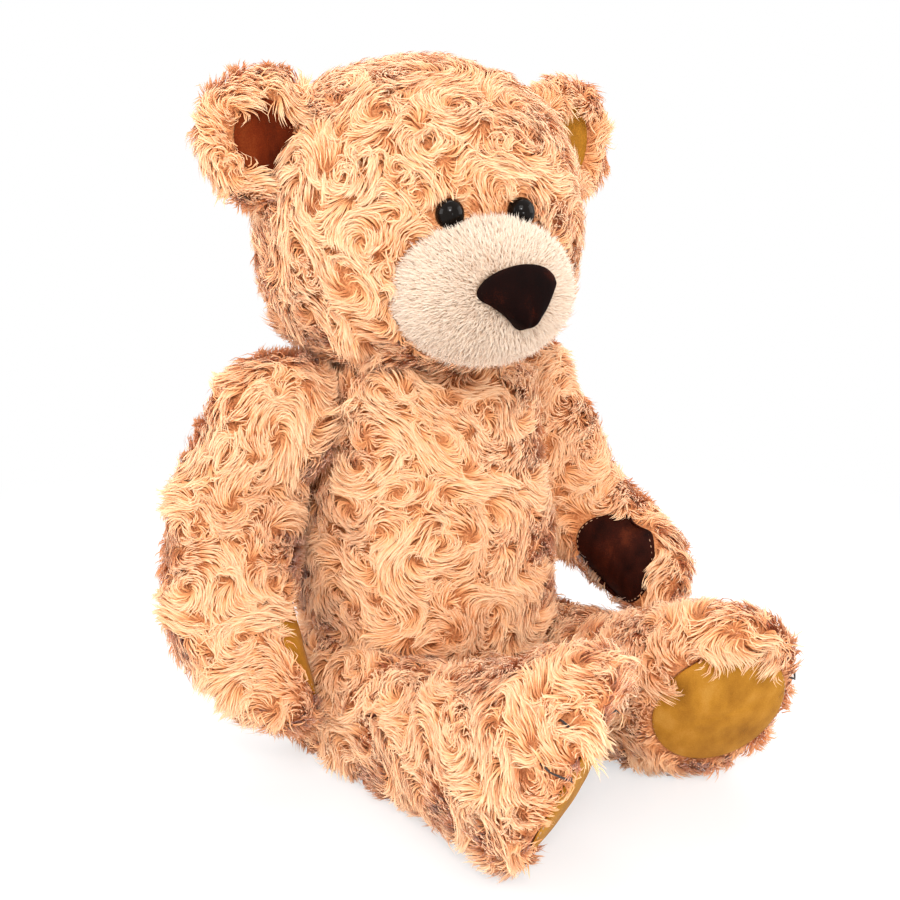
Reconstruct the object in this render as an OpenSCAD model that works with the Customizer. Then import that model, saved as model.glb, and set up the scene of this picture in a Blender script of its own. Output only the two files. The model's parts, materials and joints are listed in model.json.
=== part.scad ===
// Jointed teddy bear, seated. Fabric skins are sewn shells around stuffing, and the head,
// arms and legs each turn on a pair of hardboard discs clamped by a bolt and a lock nut.
// The bear faces -Y, its left side is +X, and it sits on z = 0.

/* [Torso] */
// Height from the seat to the flat neck seat
torso_h = 241; // [224:1:262]
// Width across the belly
belly_w = 148; // [140:1:160]
// Depth of the belly in front of the joint axes
belly_front = 85; // [76:1:96]
// Depth of the back behind the joint axes
belly_back = 68; // [60:1:78]
// Distance between the two flats that the arms turn on
shoulder_span = 128; // [122:1:132]
// Distance between the two flats that the legs turn on
hip_span = 88; // [84:1:94]
// Drop from the neck seat to the shoulder axis
shoulder_drop = 28; // [27:1:36]

/* [Head] */
// Height of the head above its flat base
head_h = 170; // [158:1:186]
// Width of the head
head_w = 190; // [178:1:204]
// Depth of the face in front of the neck axis
head_front = 90; // [82:1:98]
// Depth of the head behind the neck axis
head_back = 86; // [78:1:94]
// Angle that the head is turned towards its right
head_turn = 14; // [-40:1:40]
// Distance from the neck axis to the tip of the muzzle
muzzle_reach = 124; // [116:1:134]
// Width of the muzzle
muzzle_w = 96; // [84:1:104]
// Height of the muzzle
muzzle_h = 78; // [70:1:84]
// Width of the nose
nose_w = 42; // [34:1:46]
// Diameter of each eye
eye_d = 16; // [12:1:20]
// Distance between the eyes
eye_gap = 43; // [36:1:56]
// Diameter of each ear
ear_d = 70; // [64:1:84]
// Distance between the centres of the ears
ear_span = 190; // [186:1:204]

/* [Arms] */
// Length from the shoulder axis to the tip of the paw
arm_l = 176; // [168:1:188]
// Thickness of the arm from side to side, before its flat is cut
arm_w = 72; // [64:1:76]
// Thickness of the arm from front to back
arm_d = 58; // [52:1:64]
// Forward swing of the right arm from hanging straight down
right_swing = 2; // [-20:1:60]
// Forward swing of the left arm from hanging straight down
left_swing = 33; // [-20:1:60]

/* [Legs] */
// Length from the hip axis to the middle of the sole
leg_l = 186; // [170:1:200]
// Thickness of the thigh from side to side, before its flat is cut
thigh_w = 56; // [52:1:60]
// Thickness of the thigh from top to bottom
thigh_h = 74; // [66:1:80]
// Width of the foot
foot_w = 92; // [80:1:96]
// Height of the foot
foot_h = 118; // [104:1:124]
// Angle that each sole faces inwards
toe_in = 32; // [20:1:38]
// Angle that each sole faces downwards
sole_pitch = 26; // [16:1:32]

/* [Fabric] */
// Thickness of the fur fabric's backing
skin = 2; // [1.5:0.1:2.5]
// Thickness of the smooth pads and ear linings
pad_t = 1.6; // [1.2:0.1:2.4]
// Thickness of the claw thread
thread_d = 2.4; // [1.8:0.1:3]

/* [Joint hardware] */
// Diameter of the hardboard discs in the neck and hips
disc_d = 48; // [42:1:50]
// Diameter of the hardboard discs in the shoulders
arm_disc_d = 30; // [26:1:31]
// Thickness of each hardboard disc
disc_t = 3.2; // [2.5:0.1:4]
// Diameter of the joint bolts
bolt_d = 6; // [5:0.5:8]
// Outer diameter of the washers
washer_d = 22; // [18:1:26]
// Thickness of the washers
washer_t = 1.2; // [1:0.1:2]

/* [Fits] */
// Radial clearance of a bolt in the discs, washers and skins
bolt_fit = 0.08; // [0.05:0.01:0.1]
// Gap between two skins that turn on each other
turn_gap = 0.5; // [0.4:0.1:1]
// Gap between a limb and whatever it swings past
swing_gap = 2; // [1.5:0.1:3]

/* [Hidden] */

FUR = "#d8a67c";
PAD_TAN = "#a9793f";
PAD_BROWN = "#5a2c1c";
CREAM = "#ead3b4";
STUFFING = "#f2f0ea";
BOARD = "#8a6a45";
STEEL = "#b4b8bd";
BLACK = "#17130f";

LEFT = 1;
RIGHT = -1;
BIG = 600;
$fn = 48;

body_sides = 20;
limb_sides = 16;

bolt_r = bolt_d / 2;
hole_r = bolt_r + bolt_fit;
disc_r = disc_d / 2;
arm_disc_r = arm_disc_d / 2;
washer_r = washer_d / 2;
nut_h = bolt_d * 0.85;
nut_r = bolt_d * 0.96;
bolt_head_r = bolt_d * 0.85;
bolt_head_h = bolt_d * 0.6;
bolt_tail = 2;
nut_play = 0.3;
pocket_gap = 0.8;

// Depths below the body's joint face: disc, washer, nut and the bolt's end.
body_stack = skin + disc_t + washer_t;
nut_top = body_stack + nut_play;
bolt_end = nut_top + nut_h + bolt_tail;
// Heights above the limb's joint face: disc, washer and the bolt's head.
limb_stack = skin + disc_t + washer_t;

shoulder_x = shoulder_span / 2;
shoulder_z = torso_h - shoulder_drop;
hip_x = hip_span / 2;
hip_y = -8;
shoulder_y = 10;
thigh_r = thigh_h / 2;
hip_z = thigh_r + 1.5;
neck_z = torso_h;
head_z = neck_z + turn_gap;
// How much of a limb's roundness its joint flat cuts away.
arm_flat = 7;
thigh_flat = 8;
thigh_mid_x = turn_gap + thigh_w / 2 - thigh_flat;
leg_reach_x = hip_x + thigh_mid_x + thigh_w / 2;
// Share of the arm's length at which it has come clear of the chest.
ARM_CLEAR = 0.235;

// ---------- helpers for lofted shapes ----------

// One closed ring of points: centre c, half width w along u, and half heights up and down along v.
// An ellipse has a bulge of 1, and a smaller bulge squares its corners.
function ring(c, u, v, w, up, down, sides, bulge = 1) = [
    for (k = [0:sides - 1])
        let (t = 360 * k / sides)
        let (across = sign(cos(t)) * pow(abs(cos(t)), bulge))
        let (along = sign(sin(t)) * pow(abs(sin(t)), bulge))
        c + u * (w * across) + v * ((along > 0 ? up : down) * along)
];

// A closed skin through rings of the same length, with a flat face on each end.
module loft(rings) {
    sides = len(rings[0]);
    last = len(rings) - 1;
    side_faces = [
        for (i = [0:last - 1])
            for (k = [0:sides - 1])
                let (a = i * sides + k)
                let (b = i * sides + (k + 1) % sides)
                each [[a, b + sides, b], [a, a + sides, b + sides]]
    ];
    first_cap = [for (k = [0:sides - 1]) k];
    last_cap = [for (k = [sides - 1:-1:0]) last * sides + k];
    polyhedron(points = [for (r = rings) each r], faces = concat(side_faces, [first_cap, last_cap]));
}

// Slope of column c of a profile at row i, from the rows on either side.
function slope(p, i, c) =
    let (a = max(i - 1, 0))
    let (b = min(i + 1, len(p) - 1))
    (p[b][c] - p[a][c]) / (p[b][0] - p[a][0]);

// Half size c of row i once the skin has been moved inwards by inset.
function shrunk(p, i, c, inset) =
    max(p[i][c] - inset * sqrt(1 + pow(slope(p, i, c), 2)), 1);

// Position of row i, where the two end rows move inwards by inset.
function station(p, i, inset) =
    i == 0 ? p[i][0] + inset : i == len(p) - 1 ? p[i][0] - inset : p[i][0];

module half_space(axis, side) {
    translate(axis * side * BIG / 2) cube(BIG, center = true);
}

// ---------- torso ----------

// Rows: share of the height, then shares of the half width, the front depth and the back depth.
TORSO_SHAPE = [
    [0.000, 0.62, 0.58, 0.66],
    [0.030, 0.82, 0.78, 0.84],
    [0.120, 0.96, 0.94, 0.97],
    [0.360, 1.00, 1.00, 1.00],
    [0.560, 0.98, 0.95, 0.96],
    [0.720, 0.96, 0.84, 0.92],
    [0.850, 0.95, 0.75, 0.88],
    [0.945, 0.94, 0.66, 0.82],
    [0.980, 0.82, 0.56, 0.70],
    [1.000, 0.52, 0.42, 0.53]
];

torso_bulge = 0.9;

torso_profile = [
    for (s = TORSO_SHAPE)
        [s[0] * torso_h, s[1] * belly_w / 2, s[2] * belly_front, s[3] * belly_back]
];

function torso_rings(inset) = [
    for (i = [0:len(torso_profile) - 1])
        ring([0, 0, station(torso_profile, i, inset)], [1, 0, 0], [0, 1, 0],
            shrunk(torso_profile, i, 1, inset), shrunk(torso_profile, i, 3, inset),
            shrunk(torso_profile, i, 2, inset), body_sides, torso_bulge)
];

// Half width of the torso at height z.
function torso_half_w(z) = lookup(z, [for (p = torso_profile) [p[0], p[1]]]);

// Room that one arm needs beside the torso: a round flat as far down as the arm stands off it.
module shoulder_room(side, inset) {
    translate([side * (shoulder_x - inset), shoulder_y, shoulder_z])
        rotate([0, side * 90, 0])
            cylinder(r = ARM_CLEAR * arm_l + swing_gap + inset, h = BIG / 6);
}

// Room that one leg needs as it swings from forwards to straight down.
module hip_room(side, inset) {
    room_r = thigh_r + swing_gap + inset;
    deep = BIG / 6;
    translate([side * (hip_x - inset), hip_y, hip_z]) {
        rotate([0, side * 90, 0]) cylinder(r = room_r, h = deep);
        scale([side, 1, 1]) translate([0, -BIG, -BIG]) cube([deep, BIG + room_r, BIG]);
        scale([side, 1, 1]) translate([0, -BIG, -BIG]) cube([deep, BIG, BIG + room_r]);
    }
}

module torso_form(inset) {
    difference() {
        loft(torso_rings(inset));
        for (side = [LEFT, RIGHT]) {
            shoulder_room(side, inset);
            hip_room(side, inset);
        }
    }
}

module torso_skin() {
    difference() {
        torso_form(0);
        torso_form(skin);
        at_every_joint() bolt_hole();
    }
}

// The side seams stand a little behind the joint axes.
side_seam_y = 10;

module torso_front() {
    color(FUR) intersection() {
        torso_skin();
        translate([0, side_seam_y, 0]) half_space([0, 1, 0], -1);
    }
}

module torso_back() {
    color(FUR) intersection() {
        torso_skin();
        translate([0, side_seam_y, 0]) half_space([0, 1, 0], 1);
    }
}

module torso_stuffing() {
    color(STUFFING) difference() {
        torso_form(skin);
        at_neck() body_pocket();
        for (side = [LEFT, RIGHT]) {
            at_shoulder(side) body_pocket(arm_disc_r);
            at_hip(side) body_pocket();
        }
    }
}

// Ladder stitches that close the middle of the back.
seam_stitches = 9;
seam_pitch = 9;
seam_low = 60;

module back_seam_thread() {
    color(BOARD)
        difference() {
            for (k = [0:seam_stitches - 1])
                translate([0, belly_back, seam_low + k * seam_pitch])
                    rotate([0, 90, 0])
                        cylinder(d = thread_d, h = 3 * thread_d, center = true);
            torso_form(0);
        }
}

// ---------- joint hardware, drawn along +Z from the body into the limb ----------

module bolt_hole() {
    translate([0, 0, -BIG / 20]) cylinder(r = hole_r, h = BIG / 10);
}

module plate(r, t, z) {
    translate([0, 0, z]) difference() {
        cylinder(r = r, h = t);
        translate([0, 0, -1]) cylinder(r = hole_r, h = t + 2);
    }
}

module body_disc(r = disc_r) color(BOARD) plate(r, disc_t, -skin - disc_t);

module body_washer() color(STEEL) plate(washer_r, washer_t, -body_stack);

module limb_disc(r = disc_r) color(BOARD) plate(r, disc_t, turn_gap + skin);

module limb_washer() color(STEEL) plate(washer_r, washer_t, turn_gap + skin + disc_t);

module joint_bolt() {
    color(STEEL) {
        translate([0, 0, -bolt_end]) cylinder(r = bolt_r, h = bolt_end + turn_gap + limb_stack + 1);
        translate([0, 0, turn_gap + limb_stack]) cylinder(r = bolt_head_r, h = bolt_head_h, $fn = 6);
    }
}

module joint_nut() {
    color(STEEL) translate([0, 0, -nut_top - nut_h]) difference() {
        cylinder(r = nut_r, h = nut_h, $fn = 6);
        translate([0, 0, -1]) cylinder(r = bolt_r + 0.02, h = nut_h + 2);
    }
}

// The hollow in the stuffing that holds the body's half of a joint.
module body_pocket(r = disc_r) {
    translate([0, 0, -skin - disc_t]) cylinder(r = r, h = skin + disc_t + 1);
    translate([0, 0, -body_stack]) cylinder(r = washer_r, h = body_stack);
    translate([0, 0, -bolt_end - pocket_gap]) cylinder(r = nut_r + pocket_gap, h = bolt_end);
}

// The hollow in the stuffing that holds the limb's half of a joint.
module limb_pocket(r = disc_r) {
    translate([0, 0, turn_gap - 1]) cylinder(r = r, h = skin + disc_t + 1);
    translate([0, 0, turn_gap]) cylinder(r = washer_r, h = limb_stack);
    translate([0, 0, turn_gap]) cylinder(r = nut_r, h = limb_stack + bolt_head_h);
}

// ---------- where each joint is ----------

module at_neck() translate([0, 0, neck_z]) children();

module at_shoulder(side) {
    translate([side * shoulder_x, shoulder_y, shoulder_z]) rotate([0, side * 90, 0]) children();
}

module at_hip(side) {
    translate([side * hip_x, hip_y, hip_z]) rotate([0, side * 90, 0]) children();
}

module at_every_joint() {
    at_neck() children();
    for (side = [LEFT, RIGHT]) {
        at_shoulder(side) children();
        at_hip(side) children();
    }
}

module neck_body_disc() at_neck() body_disc();
module shoulder_body_discs() for (side = [LEFT, RIGHT]) at_shoulder(side) body_disc(arm_disc_r);
module hip_body_discs() for (side = [LEFT, RIGHT]) at_hip(side) body_disc();
module body_washers() at_every_joint() body_washer();

// ---------- head, in its own frame: origin on the neck axis at the head's flat base ----------

// Rows: share of the height, then shares of the half width, the front depth and the back depth.
HEAD_SHAPE = [
    [0.000, 0.41, 0.42, 0.43],
    [0.035, 0.66, 0.64, 0.63],
    [0.130, 0.89, 0.86, 0.83],
    [0.280, 0.98, 0.96, 0.95],
    [0.480, 1.00, 1.00, 1.00],
    [0.680, 0.95, 0.94, 0.96],
    [0.830, 0.81, 0.79, 0.83],
    [0.940, 0.55, 0.54, 0.57],
    [0.985, 0.31, 0.30, 0.33],
    [1.000, 0.12, 0.12, 0.14]
];

head_profile = [
    for (s = HEAD_SHAPE)
        [s[0] * head_h, s[1] * head_w / 2, s[2] * head_front, s[3] * head_back]
];

function head_rings(inset) = [
    for (i = [0:len(head_profile) - 1])
        ring([0, 0, station(head_profile, i, inset)], [1, 0, 0], [0, 1, 0],
            shrunk(head_profile, i, 1, inset), shrunk(head_profile, i, 3, inset),
            shrunk(head_profile, i, 2, inset), body_sides)
];

module place_head() translate([0, 0, head_z]) rotate([0, 0, -head_turn]) children();

module head_form(inset) loft(head_rings(inset));

module head_bolt_hole() translate([0, 0, -1]) cylinder(r = hole_r, h = skin + 2);

gusset_w = head_w * 0.34;

module head_skin() {
    difference() {
        head_form(0);
        head_form(skin);
        head_bolt_hole();
        for (side = [LEFT, RIGHT]) eye_hole(side);
    }
}

module head_left() {
    color(FUR) place_head() intersection() {
        head_skin();
        translate([gusset_w / 2, 0, 0]) half_space([1, 0, 0], 1);
    }
}

module head_right() {
    color(FUR) place_head() intersection() {
        head_skin();
        translate([-gusset_w / 2, 0, 0]) half_space([1, 0, 0], -1);
    }
}

module head_gusset() {
    color(FUR) place_head() intersection() {
        head_skin();
        cube([gusset_w, BIG, BIG], center = true);
    }
}

module head_stuffing() {
    color(STUFFING) place_head() difference() {
        head_form(skin);
        translate([0, 0, -turn_gap]) limb_pocket();
        for (side = [LEFT, RIGHT]) eye_pocket(side);
    }
}

// Muzzle, lofted forwards from inside the face. Rows: share of the reach from the start to the
// tip, then shares of the half width and half height.
MUZZLE_SHAPE = [
    [0.00, 0.96, 0.96],
    [0.35, 1.00, 1.00],
    [0.60, 0.96, 0.95],
    [0.80, 0.82, 0.80],
    [0.93, 0.58, 0.56],
    [1.00, 0.28, 0.27]
];
muzzle_start = head_front * 0.6;
muzzle_z = head_h * 0.28;
muzzle_profile = [
    for (s = MUZZLE_SHAPE)
        [s[0] * (muzzle_reach - muzzle_start), s[1] * muzzle_w / 2, s[2] * muzzle_h / 2]
];

function muzzle_rings(inset) = [
    for (i = [0:len(muzzle_profile) - 1])
        ring([0, -muzzle_start - station(muzzle_profile, i, inset), muzzle_z], [1, 0, 0], [0, 0, 1],
            shrunk(muzzle_profile, i, 1, inset), shrunk(muzzle_profile, i, 2, inset),
            shrunk(muzzle_profile, i, 2, inset), body_sides)
];

module muzzle_form(inset) loft(muzzle_rings(inset));

module muzzle() {
    color(CREAM) place_head() difference() {
        muzzle_form(0);
        muzzle_form(skin);
        head_form(0);
    }
}

module muzzle_stuffing() {
    color(STUFFING) place_head() difference() {
        muzzle_form(skin);
        head_form(0);
    }
}

// Nose: a soft rounded triangle, wide at the top, sewn on the upper front of the muzzle.
nose_drop = nose_w * 0.62;
nose_depth = 9;
nose_z = muzzle_z + muzzle_h * 0.11;

module nose_outline() {
    hull() {
        for (side = [LEFT, RIGHT])
            translate([side * nose_w * 0.34, 0]) circle(r = nose_w * 0.16);
        translate([0, -nose_drop + nose_w * 0.14]) circle(r = nose_w * 0.12);
    }
}

module nose() {
    color(PAD_BROWN) place_head() difference() {
        translate([0, -muzzle_reach - nose_depth / 3, nose_z])
            rotate([90 - 14, 0, 0])
                translate([0, 0, -nose_depth * 1.6])
                    linear_extrude(nose_depth * 2) nose_outline();
        muzzle_form(0);
    }
}

// Eyes: a glossy dome with a stem through the face to a lock washer inside.
eye_r = eye_d / 2;
eye_stem_r = 2;
eye_stem_l = 13;
eye_washer_r = 9;
eye_z = head_h * 0.52;
eye_x = eye_gap / 2;
// Where the face's surface is at the eye, and the angle that it faces outwards there.
eye_y = -head_front * sqrt(1 - pow(eye_x / (head_w / 2), 2)) * 0.985;
eye_yaw = 14;

module at_eye(side) {
    translate([side * eye_x, eye_y, eye_z])
        rotate([90, 0, side * eye_yaw]) children();
}

module eye_hole(side) at_eye(side) cylinder(r = eye_stem_r + bolt_fit, h = 4 * eye_stem_l, center = true);

module eye_pocket(side) {
    at_eye(side) {
        translate([0, 0, -eye_stem_l - 1]) cylinder(r = eye_stem_r + bolt_fit, h = eye_stem_l + 4);
        translate([0, 0, -eye_stem_l]) cylinder(r = eye_washer_r, h = washer_t + 0.2);
    }
}

module eye(side) {
    color(BLACK) place_head() {
        difference() {
            at_eye(side) sphere(r = eye_r);
            head_form(0);
            muzzle_form(0);
        }
        at_eye(side) translate([0, 0, -eye_stem_l]) cylinder(r = eye_stem_r, h = eye_stem_l + eye_r / 2);
    }
}

module left_eye() eye(LEFT);
module right_eye() eye(RIGHT);

module eye_washers() {
    color(STEEL) place_head() for (side = [LEFT, RIGHT])
        at_eye(side) translate([0, 0, -eye_stem_l + 0.1]) difference() {
            cylinder(r = eye_washer_r - 0.1, h = washer_t);
            translate([0, 0, -1]) cylinder(r = eye_stem_r + 0.02, h = washer_t + 2);
        }
}

// Ears: a padded dish of fur with a smooth lining, turned about its own front-to-back axis.
ear_r = ear_d / 2;
ear_t = 20;
ear_dish_r = ear_r * 0.66;
ear_dish_depth = 7;
ear_z = head_h * 0.75;
ear_y = -7;
ear_yaw = 16;

module at_ear(side) {
    translate([side * ear_span / 2, ear_y, ear_z])
        rotate([90, 0, side * ear_yaw]) children();
}

// Rows: share of the thickness from the back face to the front, and share of the radius.
EAR_SHAPE = [[-0.50, 0.72], [-0.38, 0.90], [-0.12, 1.00], [0.12, 1.00], [0.38, 0.90], [0.50, 0.74]];

module ear_form() {
    loft([
        for (s = EAR_SHAPE)
            ring([0, 0, s[0] * ear_t], [1, 0, 0], [0, 1, 0],
                s[1] * ear_r, s[1] * ear_r, s[1] * ear_r, body_sides)
    ]);
}

// The dish in the front of the ear, and the room for its lining.
module ear_dish(depth) {
    floor_r = ear_dish_r * 0.75;
    translate([0, 0, ear_t / 2 - depth])
        cylinder(r1 = floor_r, r2 = ear_dish_r * 1.1, h = depth + 1);
}

module ear_back(side) {
    color(FUR) place_head() difference() {
        at_ear(side) difference() {
            ear_form();
            ear_dish(ear_dish_depth);
        }
        head_form(0);
    }
}

module ear_lining(side) {
    color(PAD_BROWN) place_head() difference() {
        at_ear(side) translate([0, 0, ear_t / 2 - ear_dish_depth])
            cylinder(r = ear_dish_r * 0.75, h = pad_t);
        head_form(0);
    }
}

module left_ear() ear_back(LEFT);
module right_ear() ear_back(RIGHT);
module left_ear_lining() ear_lining(LEFT);
module right_ear_lining() ear_lining(RIGHT);

module neck_head_disc() at_neck() limb_disc();
module neck_head_washer() at_neck() limb_washer();
module neck_bolt() at_neck() joint_bolt();
module neck_nut() at_neck() joint_nut();

// ---------- arms, in their own frame: origin on the shoulder flat, x outwards, hanging down ----------

// Rows: share of the length below the shoulder axis, then shares of the half thickness from
// side to side and from front to back, and the forward shift as a share of the length.
ARM_SHAPE = [
    [-0.185, 0.52, 0.20, 0.000],
    [-0.165, 0.78, 0.46, 0.000],
    [-0.110, 0.96, 0.79, 0.000],
    [0.000, 1.00, 1.00, 0.000],
    [0.120, 1.00, 1.00, -0.025],
    [ARM_CLEAR, 1.00, 1.00, -0.070],
    [0.420, 1.03, 1.00, -0.110],
    [0.620, 1.04, 1.00, -0.060],
    [0.780, 0.84, 0.96, 0.050],
    [0.900, 0.66, 0.80, 0.110],
    [0.970, 0.46, 0.56, 0.130],
    [1.000, 0.23, 0.28, 0.135]
];

arm_profile = [
    for (s = ARM_SHAPE)
        [s[0] * arm_l, s[1] * arm_w / 2, s[2] * arm_d / 2, s[3] * arm_l]
];

// How far the inner side of the arm stands off the shoulder flat at depth s below the shoulder.
// Round the shoulder it reaches past the flat, which is then cut.
function arm_inner(s) =
    let (beside_chest = torso_half_w(shoulder_z - ARM_CLEAR * arm_l) + swing_gap - shoulder_x)
    let (beside_belly = belly_w / 2 + swing_gap - shoulder_x)
    let (beside_leg = max(leg_reach_x + swing_gap + pad_t - shoulder_x, beside_belly))
    lookup(s, [
        [0.120 * arm_l, turn_gap - arm_flat],
        [ARM_CLEAR * arm_l, beside_chest],
        [0.420 * arm_l, beside_belly],
        [0.780 * arm_l, beside_leg]
    ]);

arm_limb_profile = [
    for (i = [0:len(arm_profile) - 1])
        let (p = arm_profile[i])
        [p[0], p[1], p[2], p[3], arm_inner(p[0]) + (p[0] > 0 ? p[1] : arm_w / 2)]
];

function arm_rings(inset) = [
    for (i = [0:len(arm_limb_profile) - 1])
        ring([arm_limb_profile[i][4], -arm_limb_profile[i][3], -station(arm_profile, i, inset)],
            [1, 0, 0], [0, -1, 0],
            shrunk(arm_profile, i, 1, inset), shrunk(arm_profile, i, 2, inset),
            shrunk(arm_profile, i, 2, inset), limb_sides)
];

// The lofted arm with a flat where its shoulder turns on the torso.
module arm_form(inset) {
    intersection() {
        loft(arm_rings(inset));
        translate([turn_gap + inset, -BIG / 2, -BIG / 2]) cube(BIG);
    }
}

module place_arm(side) {
    swing = side == LEFT ? left_swing : right_swing;
    translate([side * shoulder_x, shoulder_y, shoulder_z])
        rotate([-swing, 0, 0])
            mirror([side == LEFT ? 0 : 1, 0, 0]) children();
}

module along_x() rotate([0, 90, 0]) children();

// The seam between the two panels of the arm leans outwards with it.
arm_lean = atan((leg_reach_x - shoulder_x) / arm_l);

module arm_seam_side(side) {
    translate([arm_w / 2 + turn_gap - arm_flat, 0, 0]) rotate([0, arm_lean, 0])
        half_space([1, 0, 0], side);
}

module arm_skin() {
    difference() {
        arm_form(0);
        arm_form(skin);
        along_x() translate([0, 0, -1]) cylinder(r = hole_r, h = skin + turn_gap + 2);
    }
}

module arm_outer(side) {
    color(FUR) place_arm(side) intersection() { arm_skin(); arm_seam_side(1); }
}

module arm_inner_panel(side) {
    color(FUR) place_arm(side) intersection() { arm_skin(); arm_seam_side(-1); }
}

module arm_stuffing(side) {
    color(STUFFING) place_arm(side) difference() {
        arm_form(skin);
        along_x() limb_pocket(arm_disc_r);
    }
}

// The smooth pad on the inner face of the paw, elongated along the arm.
pad_l = 56;
pad_w = 42;
pad_s = 0.76;

module paw_pad(side) {
    color(PAD_BROWN) place_arm(side) intersection() {
        difference() {
            arm_form(-pad_t);
            arm_form(0);
        }
        translate([0, -0.075 * arm_l, -pad_s * arm_l]) along_x()
            hull() for (end = [-1, 1])
                translate([end * (pad_l - pad_w) / 2, 0, 0])
                    cylinder(d = pad_w, h = arm_inner(pad_s * arm_l) + arm_w * 0.3);
    }
}

module left_arm_outer() arm_outer(LEFT);
module left_arm_inner() arm_inner_panel(LEFT);
module left_arm_stuffing() arm_stuffing(LEFT);
module left_paw_pad() paw_pad(LEFT);
module left_arm_disc() at_shoulder(LEFT) limb_disc(arm_disc_r);
module left_arm_washer() at_shoulder(LEFT) limb_washer();
module left_shoulder_bolt() at_shoulder(LEFT) joint_bolt();
module left_shoulder_nut() at_shoulder(LEFT) joint_nut();
module right_arm_outer() arm_outer(RIGHT);
module right_arm_inner() arm_inner_panel(RIGHT);
module right_arm_stuffing() arm_stuffing(RIGHT);
module right_paw_pad() paw_pad(RIGHT);
module right_arm_disc() at_shoulder(RIGHT) limb_disc(arm_disc_r);
module right_arm_washer() at_shoulder(RIGHT) limb_washer();
module right_shoulder_bolt() at_shoulder(RIGHT) joint_bolt();
module right_shoulder_nut() at_shoulder(RIGHT) joint_nut();

// ---------- legs, in their own frame: origin on the hip flat, x outwards, pointing forwards ----------

// Rows: share of the length in front of the hip axis, then shares of the thigh's half width and
// half height, of the foot's half width and half height, and how far the section has turned
// from the thigh's direction (0) to the sole's (1).
LEG_SHAPE = [
    [-0.205, 0.50, 0.20, 0.00, 0.00, 0.00],
    [-0.185, 0.76, 0.46, 0.00, 0.00, 0.00],
    [-0.125, 0.95, 0.81, 0.00, 0.00, 0.00],
    [0.000, 1.00, 1.00, 0.00, 0.00, 0.00],
    [0.260, 1.00, 0.97, 0.00, 0.00, 0.00],
    [0.480, 0.84, 0.72, 0.20, 0.16, 0.10],
    [0.640, 0.46, 0.40, 0.56, 0.46, 0.35],
    [0.800, 0.10, 0.10, 0.90, 0.82, 0.70],
    [0.920, 0.00, 0.00, 1.00, 1.00, 0.95],
    [1.000, 0.00, 0.00, 0.92, 0.90, 1.00]
];

leg_profile = [
    for (s = LEG_SHAPE)
        [s[0] * leg_l, s[1] * thigh_w / 2 + s[3] * foot_w / 2, s[2] * thigh_r + s[4] * foot_h / 2, s[5]]
];

// Middle of the section at row i: the foot comes in under the thigh and its heel stays on the seat's level.
foot_x = foot_w / 2 - hip_x + 14;

function leg_centre(i, inset) =
    let (turned = leg_profile[i][3])
    let (x = thigh_mid_x + (foot_x - thigh_mid_x) * turned)
    let (z = (foot_h / 2 - hip_z + 1.5) * min(LEG_SHAPE[i][3], 1))
    [x, -station(leg_profile, i, inset), z];

// The thigh is squarer than the foot, as it lies flat on the seat's level.
thigh_bulge = 0.8;

function leg_ring(i, inset) =
    let (turned = leg_profile[i][3])
    let (yaw = toe_in * turned)
    let (pitch = sole_pitch * turned)
    let (across = [cos(yaw), -sin(yaw), 0])
    let (upwards = [-sin(yaw) * sin(pitch), -cos(yaw) * sin(pitch), cos(pitch)])
    ring(leg_centre(i, inset), across, upwards,
        shrunk(leg_profile, i, 1, inset), shrunk(leg_profile, i, 2, inset),
        shrunk(leg_profile, i, 2, inset), limb_sides, thigh_bulge + (1 - thigh_bulge) * turned);

// The lofted leg with a flat where its thigh turns on the torso.
module leg_form(inset) {
    difference() {
        loft([for (i = [0:len(leg_profile) - 1]) leg_ring(i, inset)]);
        translate([turn_gap + inset - BIG, -0.45 * leg_l, -BIG / 2]) cube(BIG);
    }
}

module place_leg(side) {
    translate([side * hip_x, hip_y, hip_z]) mirror([side == LEFT ? 0 : 1, 0, 0]) children();
}

// The seam between the two panels of the leg runs forwards and leans inwards to the toes.
leg_lean = atan((thigh_mid_x - foot_x) / leg_l);

module leg_seam_side(side) {
    translate([thigh_mid_x, 0, 0]) rotate([0, 0, leg_lean]) half_space([1, 0, 0], side);
}

module leg_skin() {
    difference() {
        leg_form(0);
        leg_form(skin);
        along_x() translate([0, 0, -1]) cylinder(r = hole_r, h = skin + turn_gap + 2);
    }
}

module leg_outer(side) {
    color(FUR) place_leg(side) intersection() { leg_skin(); leg_seam_side(1); }
}

module leg_inner_panel(side) {
    color(FUR) place_leg(side) intersection() { leg_skin(); leg_seam_side(-1); }
}

module leg_stuffing(side) {
    color(STUFFING) place_leg(side) difference() {
        leg_form(skin);
        along_x() limb_pocket();
    }
}

sole_w = foot_w * 0.84;
sole_l = foot_h * 0.80;

module at_sole() {
    last = len(leg_profile) - 1;
    translate(leg_centre(last, 0)) rotate([0, 0, -toe_in]) rotate([90 + sole_pitch, 0, 0]) children();
}

module foot_pad(side) {
    color(PAD_TAN) place_leg(side) at_sole()
        linear_extrude(pad_t) hull() {
            translate([0, (sole_l - sole_w) / 2]) circle(d = sole_w);
            translate([0, (sole_w * 0.86 - sole_l) / 2]) circle(d = sole_w * 0.86);
        }
}

// Three claws of thread on the outer toes, running back from the rim of the sole. They start
// at corners of the foot's section, counted upwards from its outer side.
CLAW_CORNERS = [1, 2, 3];

module thread(from, to) {
    run = to - from;
    translate(from)
        rotate([0, acos(run[2] / norm(run)), atan2(run[1], run[0])])
            cylinder(d = thread_d, h = norm(run));
}

module claw_threads(side) {
    last = len(leg_profile) - 1;
    rim = leg_ring(last, 0);
    toes = leg_ring(last - 1, 0);
    color(BLACK) place_leg(side) difference() {
        for (k = CLAW_CORNERS) thread(rim[k], toes[k]);
        leg_form(0);
    }
}

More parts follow.
